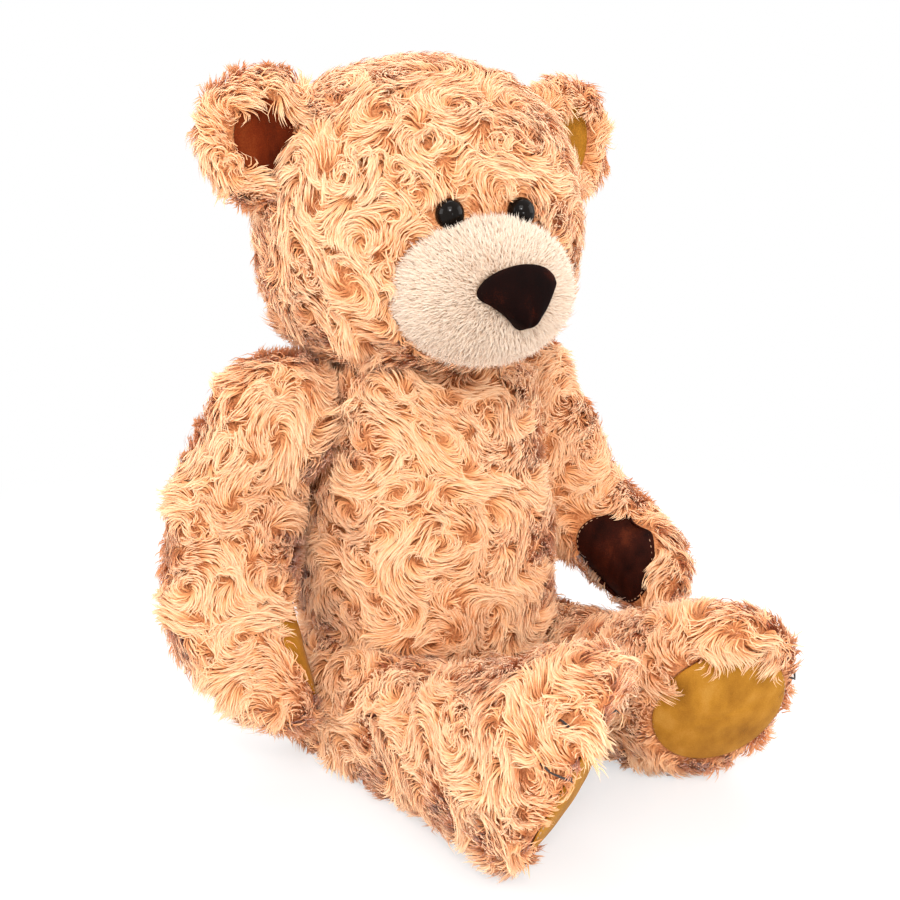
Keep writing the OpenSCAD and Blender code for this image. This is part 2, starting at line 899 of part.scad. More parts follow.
module left_leg_outer() leg_outer(LEFT);
module left_leg_inner() leg_inner_panel(LEFT);
module left_leg_stuffing() leg_stuffing(LEFT);
module left_foot_pad() foot_pad(LEFT);
module left_claw_threads() claw_threads(LEFT);
module left_leg_disc() at_hip(LEFT) limb_disc();
module left_leg_washer() at_hip(LEFT) limb_washer();
module left_hip_bolt() at_hip(LEFT) joint_bolt();
module left_hip_nut() at_hip(LEFT) joint_nut();
module right_leg_outer() leg_outer(RIGHT);
module right_leg_inner() leg_inner_panel(RIGHT);
module right_leg_stuffing() leg_stuffing(RIGHT);
module right_foot_pad() foot_pad(RIGHT);
module right_claw_threads() claw_threads(RIGHT);
module right_leg_disc() at_hip(RIGHT) limb_disc();
module right_leg_washer() at_hip(RIGHT) limb_washer();
module right_hip_bolt() at_hip(RIGHT) joint_bolt();
module right_hip_nut() at_hip(RIGHT) joint_nut();

torso_front();
torso_back();
torso_stuffing();
back_seam_thread();
neck_body_disc();
shoulder_body_discs();
hip_body_discs();
body_washers();
head_left();
head_right();
head_gusset();
head_stuffing();
muzzle();
muzzle_stuffing();
nose();
left_eye();
right_eye();
eye_washers();
left_ear();
right_ear();
left_ear_lining();
right_ear_lining();
neck_head_disc();
neck_head_washer();
neck_bolt();
neck_nut();
left_arm_outer();
left_arm_inner();
left_arm_stuffing();
left_paw_pad();
left_arm_disc();
left_arm_washer();
left_shoulder_bolt();
left_shoulder_nut();
right_arm_outer();
right_arm_inner();
right_arm_stuffing();
right_paw_pad();
right_arm_disc();
right_arm_washer();
right_shoulder_bolt();
right_shoulder_nut();
left_leg_outer();
left_leg_inner();
left_leg_stuffing();
left_foot_pad();
left_claw_threads();
left_leg_disc();
left_leg_washer();
left_hip_bolt();
left_hip_nut();
right_leg_outer();
right_leg_inner();
right_leg_stuffing();
right_foot_pad();
right_claw_threads();
right_leg_disc();
right_leg_washer();
right_hip_bolt();
right_hip_nut();
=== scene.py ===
"""Seated teddy bear: sewn hides over stuffing, curly fur grown in whorls, smooth velour pads."""
import json
import math

import bpy
import numpy as np
from mathutils import Matrix, Vector
from mathutils.bvhtree import BVHTree
from mathutils.kdtree import KDTree


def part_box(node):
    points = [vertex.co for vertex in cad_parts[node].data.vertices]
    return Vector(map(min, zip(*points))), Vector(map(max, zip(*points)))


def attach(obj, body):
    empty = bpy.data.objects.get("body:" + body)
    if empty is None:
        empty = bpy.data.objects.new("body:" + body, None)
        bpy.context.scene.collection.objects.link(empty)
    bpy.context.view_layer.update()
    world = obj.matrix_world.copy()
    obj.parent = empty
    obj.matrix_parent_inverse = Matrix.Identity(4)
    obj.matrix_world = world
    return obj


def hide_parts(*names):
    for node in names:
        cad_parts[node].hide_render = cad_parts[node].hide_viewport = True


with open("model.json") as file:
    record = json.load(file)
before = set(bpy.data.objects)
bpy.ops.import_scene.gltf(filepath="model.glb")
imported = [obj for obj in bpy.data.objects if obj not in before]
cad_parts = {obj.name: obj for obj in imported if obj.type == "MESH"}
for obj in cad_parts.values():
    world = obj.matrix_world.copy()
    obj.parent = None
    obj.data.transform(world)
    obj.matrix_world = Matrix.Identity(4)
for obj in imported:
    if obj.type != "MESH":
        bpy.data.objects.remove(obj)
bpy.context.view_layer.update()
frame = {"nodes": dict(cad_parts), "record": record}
MM = 0.001
scene = bpy.context.scene
SIDES = ("left", "right")


# ---------------------------------------------------------------- materials

class Num:
    """A socket's number, or a plain number, that adds Math nodes as it is worked with."""

    def __init__(self, paint, socket):
        self.paint, self.socket = paint, socket

    def _math(self, operation, first, second):
        return self.paint.num("ShaderNodeMath", {0: first, 1: second}, operation=operation)

    def __add__(self, other): return self._math("ADD", self, other)
    def __radd__(self, other): return self._math("ADD", other, self)
    def __sub__(self, other): return self._math("SUBTRACT", self, other)
    def __rsub__(self, other): return self._math("SUBTRACT", other, self)
    def __mul__(self, other): return self._math("MULTIPLY", self, other)
    def __rmul__(self, other): return self._math("MULTIPLY", other, self)

    def clamp(self):
        return self.paint.num("ShaderNodeClamp", {"Value": self})


class Paint:
    """One material under construction."""

    def __init__(self, name, roughness, **fixed):
        self.material = bpy.data.materials.new(name)
        self.material.use_nodes = True
        self.tree = self.material.node_tree
        self.shader = self.tree.nodes["Principled BSDF"]
        self.shader.inputs["Roughness"].default_value = roughness
        for socket, value in fixed.items():
            self.shader.inputs[socket.replace("_", " ")].default_value = value

    def node(self, kind, inputs=None, **settings):
        made = self.tree.nodes.new(kind)
        for key, value in settings.items():
            if key == "stops":
                ramp = made.color_ramp
                while len(ramp.elements) < len(value):
                    ramp.elements.new(0.5)
                for element, (place, colour) in zip(ramp.elements, value):
                    element.position = place
                    element.color = (*colour, 1.0)
            else:
                setattr(made, key, value)
        for key, value in (inputs or {}).items():
            self.join(value, made.inputs[key])
        return made

    def join(self, value, socket):
        if isinstance(value, Num):
            value = value.socket
        if isinstance(value, bpy.types.NodeSocket):
            self.tree.links.new(value, socket)
        elif isinstance(value, tuple) and len(value) == 3 and socket.type == "RGBA":
            socket.default_value = (*value, 1.0)
        else:
            socket.default_value = value

    def num(self, kind, inputs=None, output=0, **settings):
        return Num(self, self.node(kind, inputs, **settings).outputs[output])

    def attribute(self, name):
        return self.num("ShaderNodeAttribute", {}, "Fac", attribute_name=name)

    def place(self, scale=(1, 1, 1)):
        where = self.node("ShaderNodeTexCoord").outputs["Object"]
        return self.node("ShaderNodeMapping", {"Vector": where, "Scale": scale}).outputs[0]

    def noise(self, size, detail=2.0, stretch=(1, 1, 1)):
        return self.num("ShaderNodeTexNoise",
                        {"Vector": self.place(stretch), "Scale": 1 / size, "Detail": detail})

    def ramp(self, factor, *stops):
        return self.node("ShaderNodeValToRGB", {"Fac": factor}, stops=stops).outputs["Color"]

    def mix(self, factor, first, second, blend="MIX"):
        made = self.node("ShaderNodeMix", data_type="RGBA", blend_type=blend)
        for value, socket in ((factor, 0), (first, 6), (second, 7)):
            self.join(value, made.inputs[socket])
        return made.outputs[2]

    def bump(self, height, distance, strength=1.0):
        made = self.node("ShaderNodeBump",
                         {"Height": height, "Distance": distance, "Strength": strength})
        self.join(made.outputs[0], self.shader.inputs["Normal"])

    def colour(self, value):
        self.join(value, self.shader.inputs["Base Color"])

    def rough(self, value):
        self.join(value, self.shader.inputs["Roughness"])


def fur_paint(name, root, middle, tip, blush):
    """Pile that runs from a deep root to a pale tip, with each lock a little different."""
    paint = Paint(name, 0.85, Sheen_Weight=0.25, Sheen_Roughness=0.5)
    along = paint.attribute("along")
    tint = paint.attribute("tint")
    patch = paint.noise(55 * MM, 2.0)
    place = (along + (tint - 0.5) * 0.4 + (patch - 0.5) * 0.3).clamp()
    body = paint.ramp(place, (0.0, root), (0.38, middle), (0.95, tip))
    paint.colour(paint.mix((tint * 0.35).clamp(), body, blush, "MULTIPLY"))
    return paint.material


def hide_paint(name, deep, light):
    """Woven backing under the pile; on the body hides its deep red-brown is partly the backing's
    own colour and partly painted shade between the tufts.
    """
    paint = Paint(name, 0.95)
    fuzz = paint.noise(1.6 * MM, 3.0)
    paint.colour(paint.ramp(fuzz, (0.35, deep), (0.65, light)))
    paint.bump(fuzz, 1.2 * MM, 1.0)
    return paint.material


def velour_paint(name, deep, light, glow, sheen):
    """Short brushed pile: soft marks where it lies the other way, and a fine grain. The glow stop
    is the palest tone of the marks; on the nose it is painted sheen.
    """
    paint = Paint(name, 0.8, Sheen_Weight=sheen, Sheen_Roughness=0.35, Specular_IOR_Level=0.05)
    brushed = paint.noise(14 * MM, 3.0, (1, 1, 0.5))
    grain = paint.noise(0.7 * MM, 2.0)
    tone = paint.ramp((brushed * 0.8 + grain * 0.3 - 0.05).clamp(),
                      (0.25, deep), (0.55, light), (0.85, glow))
    paint.colour(tone)
    paint.rough(0.7 + grain * 0.25)
    paint.bump(grain * 0.7 + brushed * 0.5, 0.5 * MM, 0.5)
    return paint.material


def thread_paint(name, colour):
    """Twisted thread."""
    paint = Paint(name, 0.7, Sheen_Weight=0.2)
    twist = paint.noise(1.0 * MM, 1.0, (1, 1, 3))
    paint.colour(paint.mix(twist, colour, tuple(min(1, 1.6 * c + 0.02) for c in colour)))
    paint.bump(twist, 0.3 * MM)
    return paint.material


def eye_paint():
    """Polished black plastic, with a trace of brown mixed in by noise over the dome as a painted
    reflection.
    """
    paint = Paint("eye_plastic", 0.04, Specular_IOR_Level=0.12)
    paint.colour(paint.mix(paint.noise(5 * MM), (0.003, 0.002, 0.002), (0.009, 0.006, 0.004)))
    return paint.material


def board_paint():
    """Pressed hardboard with short fibres."""
    paint = Paint("hardboard", 0.75)
    fibre = paint.noise(1.5 * MM, 4.0, (1, 0.3, 1))
    paint.colour(paint.ramp(fibre, (0.3, (0.16, 0.09, 0.04)), (0.7, (0.30, 0.19, 0.10))))
    paint.bump(fibre, 0.2 * MM)
    return paint.material


def steel_paint():
    """Zinc-plated steel with fine turning marks."""
    paint = Paint("zinc_steel", 0.35, Metallic=1.0)
    marks = paint.noise(0.6 * MM, 2.0, (1, 1, 6))
    paint.colour(paint.mix(marks, (0.50, 0.51, 0.53), (0.66, 0.67, 0.69)))
    paint.rough(0.28 + marks * 0.2)
    return paint.material


# ---------------------------------------------------------------- hides

def deselect_all():
    bpy.ops.object.select_all(action="DESELECT")


def make_active(piece):
    deselect_all()
    piece.select_set(True)
    bpy.context.view_layer.objects.active = piece


def apply_modifier(piece, kind, **settings):
    """Adds a modifier to a piece and applies it."""
    make_active(piece)
    modifier = piece.modifiers.new(kind.title(), kind)
    for key, value in settings.items():
        setattr(modifier, key, value)
    bpy.ops.object.modifier_apply(modifier=modifier.name)


def joined_copy(name, nodes):
    """One new piece from copies of the frame's nodes."""
    copies = []
    for node in nodes:
        copy = bpy.data.objects.new(name, frame["nodes"][node].data.copy())
        scene.collection.objects.link(copy)
        copies.append(copy)
    make_active(copies[0])
    for copy in copies:
        copy.select_set(True)
    if len(copies) > 1:
        bpy.ops.object.join()
    piece = bpy.context.view_layer.objects.active
    piece.name = name
    piece.data.materials.clear()
    return piece


def keep_outer_shell(piece):
    """Drops whatever is sealed inside a remeshed piece."""
    make_active(piece)
    bpy.ops.object.mode_set(mode="EDIT")
    bpy.ops.mesh.select_all(action="SELECT")
    bpy.ops.mesh.separate(type="LOOSE")
    bpy.ops.object.mode_set(mode="OBJECT")
    shells = sorted(bpy.context.selected_objects, key=lambda o: len(o.data.vertices))
    outer = shells[-1]
    name = piece.name
    for shell in shells[:-1]:
        bpy.data.objects.remove(shell)
    outer.name = name
    return outer


def soft_hide(name, nodes, voxel, smoothing):
    """A closed, softened skin round the outside of a stuffed part."""
    piece = joined_copy(name, nodes)
    apply_modifier(piece, "REMESH", mode="VOXEL", voxel_size=voxel, use_smooth_shade=True)
    piece = keep_outer_shell(piece)
    apply_modifier(piece, "SMOOTH", factor=0.5, iterations=smoothing)
    return piece


def vertex_places(piece):
    flat = np.empty(len(piece.data.vertices) * 3)
    piece.data.vertices.foreach_get("co", flat)
    return flat.reshape(-1, 3)


def set_places(piece, places):
    piece.data.vertices.foreach_set("co", places.ravel())
    piece.data.update()


def finish_piece(piece, body, material, replaced=()):
    """Gives a finished piece its material and body, and hides the frame nodes that it stands for.
    """
    piece.data.materials.clear()
    piece.data.materials.append(material)
    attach(piece, body)
    if replaced:
        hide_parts(*replaced)
    return piece


# ---------------------------------------------------------------- fur

def surface_of(piece):
    """Corner places, vertex normals and triangles of a piece."""
    mesh = piece.data
    mesh.calc_loop_triangles()
    places = vertex_places(piece)
    normals = np.empty(len(mesh.vertices) * 3)
    mesh.vertex_normals.foreach_get("vector", normals)
    triangles = np.empty(len(mesh.loop_triangles) * 3, np.int64)
    mesh.loop_triangles.foreach_get("vertices", triangles)
    return places, normals.reshape(-1, 3), triangles.reshape(-1, 3)


def scatter(piece, per_mm2, rng):
    """Roots spread evenly by area over a piece, with the smooth normal at each."""
    places, normals, triangles = surface_of(piece)
    a, b, c = (places[triangles[:, k]] for k in range(3))
    area = np.linalg.norm(np.cross(b - a, c - a), axis=1) / 2
    count = int(area.sum() / MM ** 2 * per_mm2)
    chosen = rng.choice(len(area), count, p=area / area.sum())
    u, v = rng.random(count), rng.random(count)
    flip = u + v > 1
    u[flip], v[flip] = 1 - u[flip], 1 - v[flip]
    share = np.stack([1 - u - v, u, v], axis=1)
    corners = triangles[chosen]
    roots = np.einsum("nk,nkd->nd", share, places[corners])
    out = unit(np.einsum("nk,nkd->nd", share, normals[corners]))
    return roots, out


def unit(vectors):
    return vectors / np.maximum(np.linalg.norm(vectors, axis=-1, keepdims=True), 1e-9)


def whorl_centres(roots, spacing, rng):
    """Some of the roots, none closer together than the spacing."""
    cells, kept = {}, []
    for i in rng.permutation(len(roots)):
        cell = tuple(np.floor(roots[i] / spacing).astype(int))
        near = [j for x in (-1, 0, 1) for y in (-1, 0, 1) for z in (-1, 0, 1)
                for j in cells.get((cell[0] + x, cell[1] + y, cell[2] + z), ())]
        if all(np.linalg.norm(roots[i] - roots[j]) > spacing for j in near):
            cells.setdefault(cell, []).append(i)
            kept.append(i)
    return roots[kept]


def nearest_whorl(roots, centres):
    tree = KDTree(len(centres))
    for k, centre in enumerate(centres):
        tree.insert(centre, k)
    tree.balance()
    return np.array([tree.find(root)[1] for root in roots])


def tree_of(piece):
    places, _, triangles = surface_of(piece)
    return BVHTree.FromPolygons([Vector(p) for p in places], triangles.tolist())


FACING_INWARD = 0.7
CLOTH_BELOW = 3
CLOTH_REACH = 11


def gap_to(points, tree):
    """Distance from each point to a surface, negative inside it."""
    gaps = np.empty(len(points))
    for i, point in enumerate(points):
        spot = Vector(point)
        found, normal, _, distance = tree.find_nearest(spot)
        inside = (spot - found).dot(normal) < -FACING_INWARD * distance
        gaps[i] = -distance if inside else distance
    return gaps


def covered(roots, out, tree):
    """True for each root that a cloth lies over."""
    reach = CLOTH_REACH * MM
    hits = [tree.ray_cast(Vector(root - way * CLOTH_BELOW * MM), Vector(way), reach)[0]
            for root, way in zip(roots, out)]
    return np.array([hit is not None for hit in hits])


STATIONS = 4


def fur_mesh(name, paths, out, widths, twist, along, tint):
    """Tapered, curling blades, each a strip that ends in a point."""
    count, stations = paths.shape[:2]
    forward = unit(np.gradient(paths, axis=1))
    across = unit(np.cross(forward, out[:, None, :]))
    lift = np.cross(across, forward)
    turn = twist[:, None, None]
    sideways = across * np.cos(turn) + lift * np.sin(turn)
    taper = np.sqrt(1 - np.linspace(0, 1, stations) ** 3)
    half = widths[:, None, None] * taper[None, :, None] / 2
    left, right = paths - sideways * half, paths + sideways * half
    pairs = np.stack([left[:, :-1], right[:, :-1]], axis=2).reshape(count, -1, 3)
    places = np.concatenate([pairs, paths[:, -1:]], axis=1)
    per = places.shape[1]
    places[..., 2] = np.maximum(places[..., 2], FLOOR_GAP)
    quads = np.array([[2 * k, 2 * k + 1, 2 * k + 3, 2 * k + 2] for k in range(stations - 2)])
    last = 2 * (stations - 2)
    base = (np.arange(count) * per)[:, None]
    corners = np.concatenate([base + quads.ravel(), base + [last, last + 1, last + 2]], axis=1)
    sizes = np.tile([4] * len(quads) + [3], count)
    mesh = bpy.data.meshes.new(name)
    mesh.vertices.add(count * per)
    mesh.vertices.foreach_set("co", places.ravel())
    mesh.loops.add(corners.size)
    mesh.loops.foreach_set("vertex_index", corners.ravel().astype(np.int32))
    mesh.polygons.add(len(sizes))
    starts = np.concatenate([[0], np.cumsum(sizes)[:-1]])
    mesh.polygons.foreach_set("loop_start", starts.astype(np.int32))
    mesh.polygons.foreach_set("use_smooth", np.ones(len(sizes), bool))
    share = np.repeat(np.linspace(0, 1, stations)[:-1], 2).tolist() + [1.0]
    heights = np.clip(np.array(share)[None, :] * along[:, None], 0, 1)
    put_attribute(mesh, "along", heights.ravel())
    put_attribute(mesh, "tint", np.repeat(tint, per))
    lay_out_blades(mesh, count, per, corners)
    mesh.update()
    mesh.validate()
    soften_normals(mesh, out, per)
    piece = bpy.data.objects.new(name, mesh)
    scene.collection.objects.link(piece)
    return piece


def put_attribute(mesh, name, values):
    data = mesh.attributes.new(name, "FLOAT", "POINT").data
    data.foreach_set("value", values.astype(np.float32))


def lay_out_blades(mesh, count, per, corners):
    """Each blade has its own small cell of the map, so that its colours can be kept."""
    side = math.ceil(math.sqrt(count))
    cell = np.arange(count)
    u = (np.tile([0.2, 0.8], per // 2).tolist() + [0.5])
    v = (np.repeat(np.linspace(0.1, 0.9, per // 2 + 1)[:-1], 2).tolist() + [0.9])
    places = np.stack([(cell[:, None] % side + np.array(u)) / side,
                       (cell[:, None] // side + np.array(v)) / side], axis=-1).reshape(-1, 2)
    layer = mesh.uv_layers.new(name="OFBake")
    layer.data.foreach_set("uv", places[corners.ravel()].ravel().astype(np.float32))


def soften_normals(mesh, out, per):
    """Turns the blades' shading towards the way that the hide faces, as in deep pile."""
    own = np.empty(len(mesh.vertices) * 3)
    mesh.vertex_normals.foreach_get("vector", own)
    own = own.reshape(-1, 3)
    hide = np.repeat(out, per, axis=0)
    facing = np.where((own * hide).sum(axis=1, keepdims=True) < 0, -1.0, 1.0)
    mesh.normals_split_custom_set_from_vertices(unit(own * facing * PILE_GRAIN + hide).tolist())


BLADE_WIDTHS = (0.5 * MM, 1.0 * MM)
BLADES_IN_LOCK = 6
LOCK_SPREAD = 1.1 * MM
LOCK_REACH = 1.25
SHORTEST_LOCK = 1.2 * MM
HIDDEN_GAP = 0.6 * MM
FLOOR_GAP = 0.4 * MM
PILE_GRAIN = 0.8
WHORL_SPACING = 18 * MM
WHORL_CORE = 7 * MM
FLOW_SPACING = 22 * MM
FLOW_WAVES = 12
FLOW_STRETCH = (1.2, 3.0)
FLOW_HOLD = 0.5
ANY_HEIGHT = 1.0
ROOT_DEPTH = 0.5 * MM
LEAST_RISE = 0.30
EXTRA_RISE = 0.38
RISE_CURVE = 2.2
LOCK_GATHER = 0.5
DROOP = 0.10
LOOSENESS = ((1.0, 0.7), (2.6, 0.3))


class Flow:
    """A smooth field of directions that swirls at random, the way curly pile is brushed."""

    def __init__(self, rng, spacing):
        ways = unit(rng.normal(0, 1, (FLOW_WAVES, 3)))
        self.waves = ways * 2 * math.pi / (spacing * rng.uniform(*FLOW_STRETCH, (FLOW_WAVES, 1)))
        self.starts = rng.uniform(0, 2 * math.pi, FLOW_WAVES)

    def at(self, points, out):
        slope = np.sin(points @ self.waves.T + self.starts) @ unit(self.waves)
        return unit(np.cross(out, slope))


def fur_lengths(roots, out, pile, clear_of, rng):
    """How long each lock may grow: short by anything that it would run into, and by the ground."""
    lengths = pile * rng.uniform(0.75, 1.2, len(roots))
    for tree, share, least, below in clear_of:
        gap = gap_to(roots, tree)
        room = np.where(gap > HIDDEN_GAP, gap * share + least, 0)
        room[roots[:, 2] > below] = pile * 2
        lengths = np.minimum(lengths, room)
    upward = np.clip(1 + out[:, 2], 0, 1)
    over_ground = np.maximum(roots[:, 2] - FLOOR_GAP, 0) * 1.5 + pile * upward
    return np.minimum(lengths, over_ground)


def curly_paths(roots, out, reach, flow, centre, spin, opening):
    """Each blade's line over the hide: round a whorl when it is near one, else with the flow."""
    place, way = roots - ROOT_DEPTH * out, None
    path = [place]
    steps = 2 * (STATIONS - 1)
    for k in range(steps):
        arm = place - centre
        arm -= out * (arm * out).sum(axis=1, keepdims=True)
        radius = np.linalg.norm(arm, axis=1, keepdims=True) + 1e-6
        outward = arm / radius
        swirl = np.cross(out, outward) * spin[:, None] + outward * opening[:, None]
        share = np.exp(-(radius / WHORL_CORE) ** 2)
        turned_way = unit(swirl * share + flow.at(place, out) * (1 - share))
        way = turned_way if way is None else unit(way * FLOW_HOLD + turned_way * (1 - FLOW_HOLD))
        place = place + way * (reach / steps)[:, None]
        if k % 2:
            path.append(place)
    return np.stack(path, axis=1)


def curly_fur(label, hide, body, rng, density, pile, keep=None, clear_of=(), pieces=1):
    """Locks of fur that swirl over a hide, shorter wherever it comes close to something."""
    roots, out = scatter(hide, density, rng)
    lengths = fur_lengths(roots, out, pile, clear_of, rng)
    alive = lengths > SHORTEST_LOCK
    if keep is not None:
        alive &= keep(roots, out)
    roots, out, lengths = roots[alive], out[alive], lengths[alive]
    centres = whorl_centres(roots, WHORL_SPACING, rng)
    whorl = nearest_whorl(roots, centres)
    spin = rng.choice([-1.0, 1.0], len(centres))[whorl]
    lift = 0.6 * rng.uniform(0, 1, len(centres))[whorl] + 0.4 * rng.uniform(0, 1, len(roots))
    opening = rng.uniform(-0.2, 0.6, len(centres))[whorl] + rng.normal(0, 0.25, len(roots))
    tint = rng.normal(0.5, 0.15, len(roots)) + 0.3 * (lift - 0.5)
    centre = centres[whorl]
    roots, out, lengths, spin, lift, opening, tint, centre = (
        np.repeat(x, BLADES_IN_LOCK, axis=0)
        for x in (roots, out, lengths, spin, lift, opening, tint, centre))
    count = len(roots)
    spreads, shares = zip(*LOOSENESS)
    loose = rng.choice(spreads, count, p=shares)
    stray = rng.normal(0, 1, roots.shape) * (LOCK_SPREAD * loose)[:, None]
    stray -= out * (stray * out).sum(axis=1, keepdims=True)
    reach = lengths * LOCK_REACH * rng.uniform(0.75, 1.1, count)
    path = curly_paths(roots + stray, out, reach, Flow(rng, FLOW_SPACING), centre, spin, opening)
    t = np.linspace(0, 1, STATIONS)[None, :]
    rise = lengths * (LEAST_RISE + EXTRA_RISE * lift) * rng.uniform(0.75, 1.25, count)
    path += out[:, None, :] * (rise[:, None] * (1 - (1 - t) ** RISE_CURVE))[..., None]
    path -= stray[:, None, :] * (LOCK_GATHER * t)[..., None]
    path += np.array([0, 0, -1.0]) * (DROOP * lengths[:, None] * t ** 2)[..., None]
    widths = rng.uniform(*BLADE_WIDTHS, count)
    twist = rng.uniform(-0.8, 0.8, count)
    along = np.clip(0.55 + 0.45 * lengths / pile, 0.5, 1.1)
    order = np.argsort(np.arctan2(roots[:, 1], roots[:, 0]), kind="stable")
    for k, part in enumerate(np.array_split(order, pieces)):
        piece = fur_mesh(f"{label}_fur_{k + 1}", path[part], out[part], widths[part], twist[part],
                         along[part], tint[part])
        finish_piece(piece, body, FUR)


# ---------------------------------------------------------------- finishes

# Body hides: backing cloth whose deep red-brown is deepened as painted shade between the tufts.
BACKING_WITH_PAINTED_SHADE = hide_paint("hide_backing", (0.45, 0.14, 0.04), (0.70, 0.30, 0.12))
MUZZLE_BACKING = hide_paint("muzzle_backing", (0.62, 0.42, 0.27), (0.74, 0.56, 0.40))
FUR = fur_paint("curly_fur", (0.57, 0.185, 0.05), (0.87, 0.405, 0.165), (0.95, 0.65, 0.40),
                (1.0, 0.89, 0.79))
MUZZLE_PILE = fur_paint("muzzle_pile", (0.46, 0.23, 0.12), (0.77, 0.57, 0.41), (0.85, 0.74, 0.62),
                        (1.0, 0.94, 0.90))
# Near-black nose velour; its red-brown glow stop is painted sheen where the pile catches light.
NOSE_VELOUR_WITH_PAINTED_SHEEN = velour_paint("nose_velour", (0.001, 0.0005, 0.0005), (0.007, 0.0015, 0.001),
                           (0.06, 0.009, 0.003), 0.0)
# Tan velour darkened as painted shade, for the far (left) paw pad that faces away from the light.
PAW_VELOUR_PAINTED_SHADE = velour_paint("paw_velour_painted_shade", (0.004, 0.0012, 0.001), (0.032, 0.006, 0.003),
                           (0.11, 0.022, 0.008), 0.02)
# Tan velour darkened to rust as painted shade, for the near (right) ear lining in the shade of the
# ear.
LINING_VELOUR_PAINTED_SHADE = velour_paint("lining_velour_painted_shade", (0.03, 0.004, 0.001), (0.12, 0.016, 0.003),
                           (0.22, 0.045, 0.010), 0.02)
TAN_VELOUR = velour_paint("tan_velour", (0.22, 0.085, 0.008), (0.41, 0.18, 0.020),
                          (0.54, 0.28, 0.055), 0.06)
CLAW_THREAD = thread_paint("claw_thread", (0.012, 0.008, 0.006))
SEAM_THREAD = thread_paint("seam_thread", (0.34, 0.19, 0.10))
EYE_PLASTIC = eye_paint()
HARDBOARD = board_paint()
ZINC_STEEL = steel_paint()


def dress_frame_nodes():
    """The hardware and the back's stitches keep their own shapes and get a finish."""
    for part in frame["record"]["subparts"]:
        piece = frame["nodes"][part["node"]]
        finish = {"steel": ZINC_STEEL, "hardboard": HARDBOARD, "eye_plastic": EYE_PLASTIC,
                  "seam_thread": SEAM_THREAD}.get(part["material_slot"], BACKING_WITH_PAINTED_SHADE)
        piece.data.materials.clear()
        piece.data.materials.append(finish)


# ---------------------------------------------------------------- hides of each part

VOXEL = 4 * MM
MUZZLE_VOXEL = 3 * MM
EAR_VOXEL = 2.5 * MM
GROUND_GAP = 0.8 * MM
SOFTENING = 8
LEG_SAG = 6 * MM
SAG_BELOW = 45 * MM
TOE_PUFF = 9 * MM
RIGHT_ARM_BULGE = 6 * MM
RIGHT_SHOULDER_BULGE = 12 * MM
LEFT_SHOULDER_BULGE = 8 * MM
TOE_LENGTH = 75 * MM
TOE_START_HEIGHT = 45 * MM
TOE_RISE = 50 * MM
SHOULDER_SHARE = 0.74
SHOULDER_SPREAD = 0.15


def limb_nodes(side, limb):
    return [f"{side}_{limb}_{what}" for what in ("outer", "inner", "stuffing", "disc", "washer")]


def settle(piece, sag, below):
    """Lets the underside of a piece sag towards the ground, as soft legs do."""
    places = vertex_places(piece)
    low = np.clip(1 - places[:, 2] / below, 0, 1)
    places[:, 2] = np.maximum(places[:, 2] - sag * low, GROUND_GAP)
    set_places(piece, places)


def puff_toes(piece, amount):
    """Plumps up the top of a foot."""
    places = vertex_places(piece)
    front = places[:, 1].min()
    toes = np.clip(1 - (places[:, 1] - front) / TOE_LENGTH, 0, 1) ** 0.7
    high = np.clip((places[:, 2] - TOE_START_HEIGHT) / TOE_RISE, 0, 1)
    places += np.outer(amount * toes * high, (0, -0.35, 1))
    set_places(piece, places)


def bulge_out(piece, side, middle, shoulder):
    """Moves the middle of a hanging arm outwards, and its shoulder outwards and back."""
    places = vertex_places(piece)
    low, high = places[:, 2].min(), places[:, 2].max()
    share = np.clip((places[:, 2] - low) / (high - low), 0, 1)
    places[:, 0] += side * middle * np.sin(math.pi * np.clip(share * 1.1, 0, 1))
    upper = np.exp(-((share - SHOULDER_SHARE) / SHOULDER_SPREAD) ** 2)
    outer = np.clip((side * places[:, 0] - 70 * MM) / (40 * MM), 0, 1)
    places += np.outer(shoulder * upper * outer, (side * 0.85, 0.5, 0))
    set_places(piece, places)


def make_hides():
    hides = {
        "torso": soft_hide("torso_hide", ["torso_front", "torso_back", "torso_stuffing",
                                          "neck_body_disc", "shoulder_body_discs",
                                          "hip_body_discs"], VOXEL, SOFTENING),
        "head": soft_hide("head_hide", ["head_left", "head_right", "head_gusset", "head_stuffing",
                                        "neck_head_disc", "eye_washers"], VOXEL, SOFTENING),
        "muzzle": soft_hide("muzzle_hide", ["muzzle", "muzzle_stuffing"], MUZZLE_VOXEL, 6),
    }
    for side in SIDES:
        hides[f"{side}_ear"] = soft_hide(f"{side}_ear_hide", [f"{side}_ear"], EAR_VOXEL, 5)
        hides[f"{side}_arm"] = soft_hide(f"{side}_arm_hide", limb_nodes(side, "arm"), VOXEL,
                                         SOFTENING)
        hides[f"{side}_leg"] = soft_hide(f"{side}_leg_hide", limb_nodes(side, "leg"), VOXEL,
                                         SOFTENING)
        settle(hides[f"{side}_leg"], LEG_SAG, SAG_BELOW)
        puff_toes(hides[f"{side}_leg"], TOE_PUFF)
    bulge_out(hides["right_arm"], -1, RIGHT_ARM_BULGE, RIGHT_SHOULDER_BULGE)
    bulge_out(hides["left_arm"], 1, 0, LEFT_SHOULDER_BULGE)
    return hides


